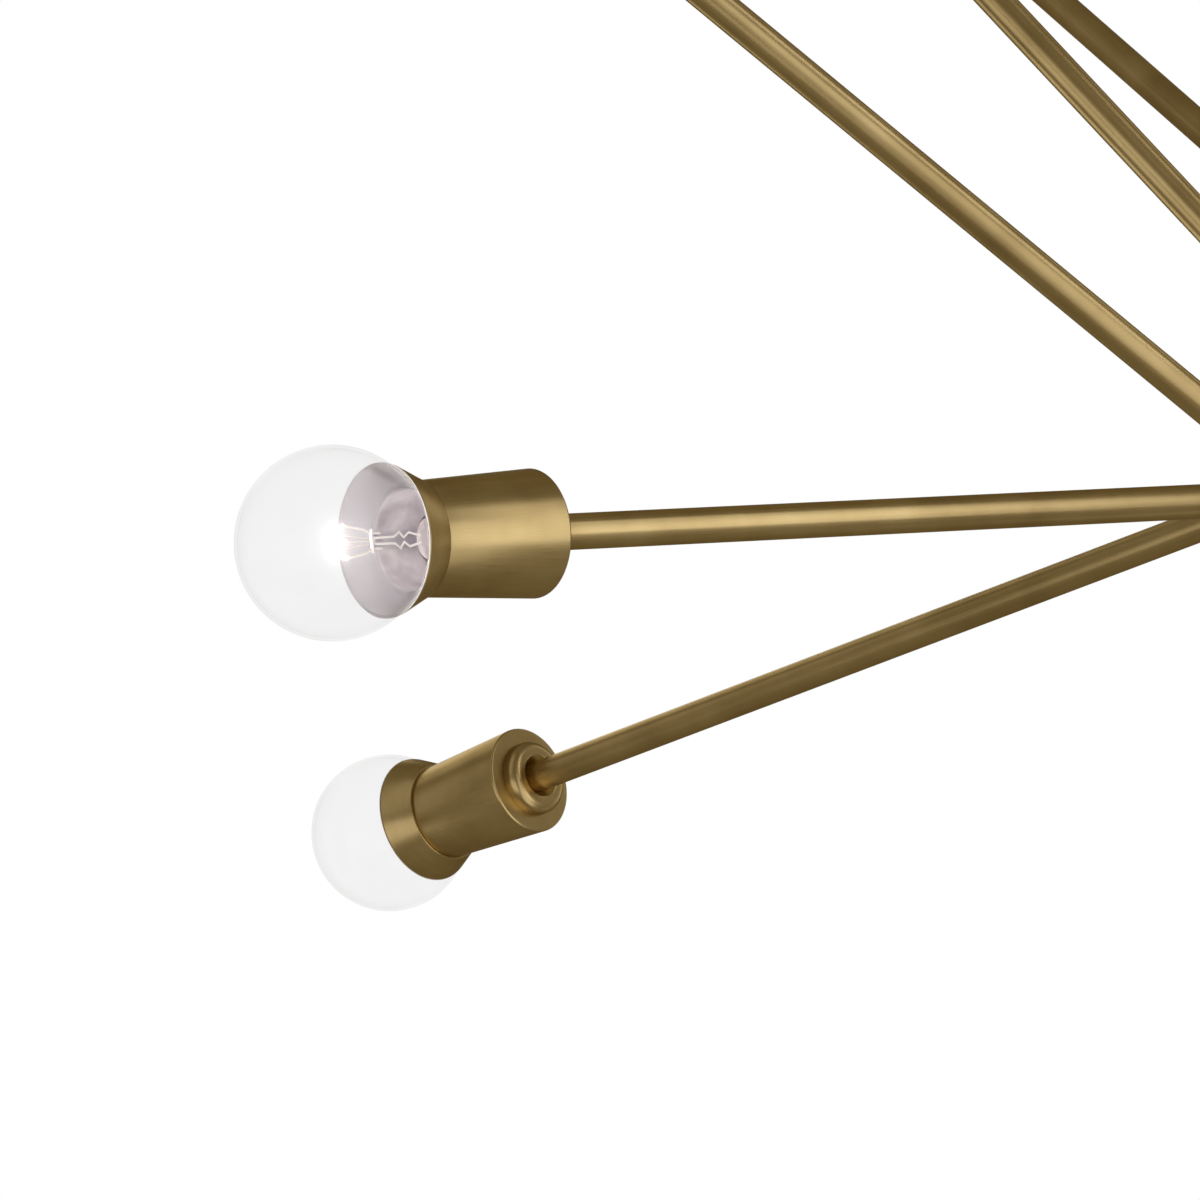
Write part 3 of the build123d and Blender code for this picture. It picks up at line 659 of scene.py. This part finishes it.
# Faces deep in the bore take the lining with its painted glow; faces past the ring's lip take the pale
# lip with its painted highlight.
for face in liner_mesh.polygons:
    reach = hypot(face.center.x, face.center.y)
    if face.center.z < liner_step * MM and reach < (CUP_BORE - 2 * LINER) * MM:
        face.material_index = 1
    elif reach > (RING_LIP_RADIUS - LINER) * MM:
        face.material_index = 2
holder_mesh = lathe("holder", rounded([
    (TUBE_RADIUS + SEAT_GAP, CUP_BACK_WALL, 0),
    (HOLDER_RADIUS, CUP_BACK_WALL, HOLDER_EDGE),
    (HOLDER_RADIUS, holder_step, SOFT_EDGE),
    (HOLDER_RADIUS - HOLDER_STEP, holder_step, SOFT_EDGE),
    (HOLDER_RADIUS - HOLDER_STEP, holder_front, HOLDER_FRONT_EDGE),
    (SHELL_RADIUS + SEAT_GAP, holder_front, HOLDER_EDGE),
    (SHELL_RADIUS + SEAT_GAP, contact_bottom, 0),
    (0, contact_bottom, 0),
    (0, tube_end, 0),
    (TUBE_RADIUS + SEAT_GAP, tube_end, 0)]), ROUND_SMALL)
shell_mesh = lathe("shell", rounded([
    (SHELL_BORE, shell_back, 0),
    (SHELL_RADIUS, shell_back, 0),
    (SHELL_RADIUS, shell_front, SHELL_EDGE),
    (SHELL_BORE, shell_front, SHELL_EDGE)]), ROUND_SMALL)
contact_mesh = lathe("contact", rounded([
    (0, contact_bottom, 0),
    (CONTACT_RADIUS, contact_bottom, 0),
    (CONTACT_RADIUS, contact_top, CONTACT_EDGE),
    (0, contact_top, 0)]), ROUND_SMALL, closed=False)
screw_mesh = set_screw("set_screw")


# Shared meshes of the lamp
def globe_profile(inset):
    """Sphere drawn into a neck by a tangent arc, moved in by the wall."""
    ball = GLOBE_RADIUS - inset
    bend = neck_bend + inset
    stop = atan2(NECK_FLARE_RADIUS, neck_join) / BALL_STEPS
    points = [(ball * sin(stop * k), ball * cos(stop * k)) for k in range(BALL_STEPS + 1)]
    turn = atan2(-neck_join, NECK_FLARE_RADIUS)
    middle = NECK_RADIUS + neck_bend
    for k in range(1, NECK_STEPS + 1):
        a = turn * (1 - k / NECK_STEPS)
        points.append((middle - bend * cos(a), neck_end + bend * sin(a)))
    return points + [(NECK_RADIUS - inset, glass_end)]


outer_globe = globe_profile(0)
globe_mesh = lathe("globe", outer_globe + globe_profile(GLASS_WALL)[::-1], closed=False)
globe_mesh.materials.append(GLOBE_GLASS)
globe_mesh.materials.append(GLOBE_INSIDE)
for face in globe_mesh.polygons[ROUND * len(outer_globe):]:
    face.material_index = 1
base_mesh = lathe("base", rounded([
    (0, glass_end - GLASS_SEAT, 0),
    (NECK_RADIUS + SEAT_GAP, glass_end - GLASS_SEAT, 0),
    (NECK_RADIUS + SEAT_GAP, neck_end, 0),
    (SKIRT_RADIUS, neck_end, SKIRT_EDGE),
    (SKIRT_RADIUS, skirt_end, SKIRT_RIM_EDGE),
    (THREAD_ROOT, skirt_end, 0),
    (0, skirt_end, 0)]), ROUND_SMALL, closed=False)
thread_mesh = threaded("thread", thread_end, skirt_end, THREAD_ROOT, THREAD_CREST, THREAD_PITCH)
cone_mesh = lathe("insulator", rounded([
    (0, thread_end, 0),
    (THREAD_ROOT - INSULATOR_INSET, thread_end, 0),
    (TIP_RADIUS + INSULATOR_FOOT, tip_top, INSULATOR_EDGE),
    (0, tip_top, 0)]), ROUND_SMALL, closed=False)
tip_mesh = lathe("tip", rounded([
    (0, tip_top, 0),
    (TIP_RADIUS, tip_top, 0),
    (TIP_RADIUS, tip_end, TIP_EDGE),
    (0, tip_end, 0)]), ROUND_SMALL, closed=False)
stem_mesh = lathe("stem", rounded([
    (0, glass_end, 0),
    (NECK_RADIUS - STEM_FOOT_INSET, glass_end, 0),
    (NECK_RADIUS - STEM_SHOULDER_INSET, glass_end + STEM_SHOULDER, STEM_SHOULDER_FILLET),
    (STEM_RADIUS, glass_end + STEM_THROAT, STEM_THROAT_FILLET),
    (STEM_RADIUS, STEM_TOP, STEM_TOP_EDGE),
    (0, STEM_TOP, 0)]), ROUND_SMALL, closed=False)
flare_radius = NECK_RADIUS - GLASS_WALL - SEAT_GAP
flare_mesh = lathe("flare", rounded([
    (0, glass_end + FLARE_FOOT, 0),
    (flare_radius, glass_end + FLARE_FOOT, 0),
    (flare_radius, neck_end + FLARE_SHOULDER, FLARE_SHOULDER_EDGE),
    (STEM_RADIUS, neck_end + FLARE_TOP, FLARE_TOP_EDGE),
    (0, neck_end + FLARE_TOP, 0)]), ROUND_SMALL, closed=False)

zigzag = [Vector((0, FILAMENT_SPAN * k / (2 * ZIGZAG_HALF), FILAMENT_RISE * (k % 2) - FILAMENT_PLACE))
          for k in range(-ZIGZAG_HALF, ZIGZAG_HALF + 1)]


def coil_points():
    """Fine coil wound along the zigzag between the lead wires."""
    points = []
    count = COIL_TURNS * COIL_STEPS
    side = Vector((1, 0, 0))
    for start, end in zip(zigzag, zigzag[1:]):
        run = end - start
        up = run.normalized().cross(side)
        for k in range(count):
            a = 2 * pi * k / COIL_STEPS
            points.append(start + run * (k / count) + (side * cos(a) + up * sin(a)) * COIL_RADIUS)
    return points


def lead(side, end):
    """Lead wire from the stem to one end of the zigzag."""
    foot = STEM_RADIUS - LEAD_WIRE
    return [(0, side * foot, STEM_TOP - LEAD_ROOT),
            (0, side * foot, STEM_TOP),
            (0, side * (foot + LEAD_SPREAD), STEM_TOP + LEAD_BEND),
            end]


def support(corner):
    """Fine wire from the stem to a corner of the zigzag, just below the coil."""
    return [(0, corner.y * SUPPORT_ROOT_SHARE, STEM_TOP - SUPPORT_ROOT),
            (0, corner.y * SUPPORT_BEND_SHARE, STEM_TOP + SUPPORT_BEND),
            corner - Vector((0, 0, COIL_RADIUS + COIL_WIRE))]


def inner_lead(side):
    """Crimped wire inside the stem, from the press to the flare."""
    return [(0, side * out, STEM_TOP - depth) for out, depth in INNER_LEAD]


coil_mesh = wire("coil", coil_points(), COIL_WIRE, ROUND_COIL)
press_ends = [(0, side * PRESS_REACH, STEM_TOP) for side in (-1, 1)]
press_mesh = wire("press", press_ends, PRESS_RADIUS, ROUND_PRESS)
wire_meshes = {
    name: wire(name, path, radius) for name, path, radius in (
        ("inner_lead_a", inner_lead(-1), LEAD_WIRE),
        ("inner_lead_b", inner_lead(1), LEAD_WIRE),
        ("lead_a", lead(-1, zigzag[0]), LEAD_WIRE),
        ("lead_b", lead(1, zigzag[-1]), LEAD_WIRE),
        ("support_a", support(zigzag[1]), SUPPORT_WIRE),
        ("support_b", support(zigzag[2]), SUPPORT_WIRE),
        ("support_c", support(zigzag[3]), SUPPORT_WIRE))}

# Arms, sockets and lamps
for number in range(1, LAMPS + 1):
    out, inner, outer = arm_axis(number)
    length = (outer - inner).length / MM
    tube_mesh = lathe(f"tube_{number}", rounded([
        (TUBE_BORE, 0, 0),
        (TUBE_RADIUS, 0, SOFT_EDGE),
        (TUBE_RADIUS, length, SOFT_EDGE),
        (TUBE_BORE, length, 0)]), ROUND_TUBE)
    put(f"arm_{number}_tube", tube_mesh, BRASS_ALONG, facing(out, inner), "fixture",
        f"arm_{number}")
    socket = facing(out, outer - out * tube_end * MM)
    for name, mesh, material, slot, node in (
            ("cup", cup_mesh, BRASS_ALONG, "satin_brass", f"cup_{number}"),
            ("ring", ring_mesh, BRASS_TURNED, "satin_brass", "cup_rings"),
            ("boss", boss_mesh, BRASS_TURNED, "satin_brass", "cup_bosses"),
            ("liner", liner_mesh, LINING, "lamp_base", None),
            ("holder", holder_mesh, INSULATOR, "insulator", "lampholders"),
            ("shell", shell_mesh, CONTACT, "contact_brass", "lamp_contacts"),
            ("contact", contact_mesh, CONTACT, "contact_brass", "lamp_contacts")):
        put(f"socket_{number}_{name}", mesh, material, socket, "fixture", node)
    under = -socket.to_3x3().col[1]
    screw_foot = inner + out * SCREW_PLACE * MM + under * (TUBE_RADIUS + SEAT_GAP) * MM
    put(f"arm_{number}_set_screw", screw_mesh, STEEL, facing(under, screw_foot), "fixture",
        "arm_set_screws")
    lamp = socket @ Matrix.Translation((0, 0, globe_place * MM))
    body = f"lamp_{number}"
    glass_mesh, glass_place = turned_mesh(globe_mesh, lamp)
    put(f"{body}_glass", glass_mesh, GLOBE_GLASS, glass_place, body, f"{body}_globe")
    put(f"{body}_stem", stem_mesh, STEM_GLASS, lamp, body)
    # The flare, press and wires carry a painted glow in place of the coil's light on them.
    lamp_pieces = [
        ("skirt", base_mesh, BASE_METAL),
        ("thread", thread_mesh, BASE_METAL),
        ("insulator", cone_mesh, BASE_GLASS),
        ("tip", tip_mesh, SOLDER),
        ("flare", flare_mesh, FLARE_GLASS_PAINTED_GLOW),
        ("press", press_mesh, FLARE_GLASS_PAINTED_GLOW)]
    lamp_pieces += [(name, mesh, WIRE_PAINTED_GLOW) for name, mesh in wire_meshes.items()]
    for name, mesh, material in lamp_pieces:
        put(f"{body}_{name}", mesh, material, lamp, body, f"{body}_base")
    coil = put(f"{body}_coil", coil_mesh, FILAMENT, lamp, body, f"{body}_base")
    coil.visible_glossy = False

# Stage: a pale floor
FLOOR_LEVEL = -4.5
FLOOR_REACH = 60.0
FLOOR_GLOW = 0.78         # stands for the studio's floor lights, which don't reach the part
floor_mesh = bpy.data.meshes.new("floor")
floor_corners = [(x * FLOOR_REACH, y * FLOOR_REACH, FLOOR_LEVEL)
                 for x, y in ((-1, -1), (1, -1), (1, 1), (-1, 1))]
floor_mesh.from_pydata(floor_corners, [], [(0, 1, 2, 3)])
floor_mesh.materials.append(moulded(
    "pale_floor", (0.80, 0.80, 0.79), (0.84, 0.84, 0.83), (0.7, 0.8), FLOOR_GLOW))
floor = bpy.data.objects.new("floor", floor_mesh)
scene.collection.objects.link(floor)
floor.visible_glossy = False
floor.visible_diffuse = False

# Soft studio light
VIEW_MIDDLE = Vector((-0.3, -0.1, -0.5))
LIGHT_DISTANCE = 3.0


def softbox(name, turn, rise, width, height, radiance):
    """Rectangular light, placed and sized by angles in degrees as the middle of the view sees it."""
    turn = radians(turn)
    rise = radians(rise)
    toward = Vector((cos(rise) * cos(turn), cos(rise) * sin(turn), sin(rise)))
    light = bpy.data.lights.new(name, "AREA")
    light.shape = "RECTANGLE"
    light.size = 2 * LIGHT_DISTANCE * tan(radians(width) / 2)
    light.size_y = 2 * LIGHT_DISTANCE * tan(radians(height) / 2)
    light.energy = radiance * pi * light.size * light.size_y
    placed = bpy.data.objects.new(name, light)
    scene.collection.objects.link(placed)
    placed.location = VIEW_MIDDLE + toward * LIGHT_DISTANCE
    placed.rotation_mode = "QUATERNION"
    placed.rotation_quaternion = (-toward).to_track_quat("-Z", "Y")
    placed.visible_camera = False


softbox("key_strip", turn=-18, rise=14, width=16, height=60, radiance=1.36)
softbox("front_panel", turn=-46, rise=-24, width=49, height=89, radiance=0.78)
softbox("low_left_panel", turn=-130, rise=-25.5, width=69, height=37, radiance=0.68)
softbox("high_left_panel", turn=-148, rise=39.5, width=33.5, height=65, radiance=0.27)
softbox("left_panel", turn=162, rise=9.3, width=16.5, height=40, radiance=0.22)
softbox("left_edge_light", turn=136.7, rise=-27.5, width=29, height=16, radiance=0.87)
softbox("rear_edge_light", turn=104.8, rise=23.7, width=20.8, height=17, radiance=1.18)
softbox("rear_high_light", turn=127.4, rise=35.8, width=17.5, height=19.4, radiance=0.4)
softbox("rear_strip", turn=32.6, rise=4.2, width=19.3, height=89, radiance=0.15)
softbox("right_panel", turn=33.3, rise=21, width=16, height=43, radiance=0.4)

# White backdrop, and a dim warm room round the part
BACKDROP = (1, 1, 1, 1)
BACKDROP_STRENGTH = 1.0
ROOM = (1.0, 0.84, 0.55, 1)
ROOM_STRENGTH = 0.21
world = bpy.data.worlds.new("studio")
scene.world = world
world.use_nodes = True
tree = world.node_tree
seen = tree.nodes["Background"]
seen.inputs["Color"].default_value = BACKDROP
seen.inputs["Strength"].default_value = BACKDROP_STRENGTH
around = tree.nodes.new("ShaderNodeBackground")
around.inputs["Color"].default_value = ROOM
around.inputs["Strength"].default_value = ROOM_STRENGTH
path = tree.nodes.new("ShaderNodeLightPath")
choice = tree.nodes.new("ShaderNodeMixShader")
tree.links.new(path.outputs["Is Camera Ray"], choice.inputs["Fac"])
tree.links.new(around.outputs[0], choice.inputs[1])
tree.links.new(seen.outputs[0], choice.inputs[2])
tree.links.new(choice.outputs[0], tree.nodes["World Output"].inputs["Surface"])
scene.view_settings.view_transform = "Standard"

# Bloom round the hot filaments
BLOOM_THRESHOLD = 2.0
BLOOM_STRENGTH = 0.12
BLOOM_SIZE = 0.03
scene.use_nodes = True
post = scene.node_tree
layers = post.nodes.get("Render Layers") or post.nodes.new("CompositorNodeRLayers")
result = post.nodes.get("Composite") or post.nodes.new("CompositorNodeComposite")
bloom = post.nodes.new("CompositorNodeGlare")
bloom.glare_type = "BLOOM"
bloom.quality = "HIGH"
bloom.inputs["Threshold"].default_value = BLOOM_THRESHOLD
bloom.inputs["Strength"].default_value = BLOOM_STRENGTH
bloom.inputs["Size"].default_value = BLOOM_SIZE
post.links.new(layers.outputs["Image"], bloom.inputs["Image"])
post.links.new(bloom.outputs["Image"], result.inputs["Image"])

# Camera at the photograph's angle
FRAME_SIDE = 1200         # pixels of the photograph's square frame
FOCAL_PIXELS = 8400.0
SENSOR_WIDTH = 36.0       # millimetres
FAR_CLIP = 200.0
LOOK_UP = radians(10.692)
HUB_IN_VIEW = (271.09, -57.27, 2500.31)  # arm 2's crossing of the hub axis: right, down, ahead, mm
camera = bpy.data.cameras.new("camera")
camera.sensor_width = SENSOR_WIDTH
camera.lens = SENSOR_WIDTH * FOCAL_PIXELS / FRAME_SIDE
camera.clip_end = FAR_CLIP
right = Vector((1, 0, 0))
ahead = Vector((0, cos(LOOK_UP), sin(LOOK_UP)))
down = ahead.cross(right)
offset = right * HUB_IN_VIEW[0] + down * HUB_IN_VIEW[1] + ahead * HUB_IN_VIEW[2]
viewer = bpy.data.objects.new("camera", camera)
scene.collection.objects.link(viewer)
viewer.location = hub_crossing(2) - offset * MM
viewer.rotation_mode = "QUATERNION"
viewer.rotation_quaternion = ahead.to_track_quat("-Z", "Y")
scene.camera = viewer
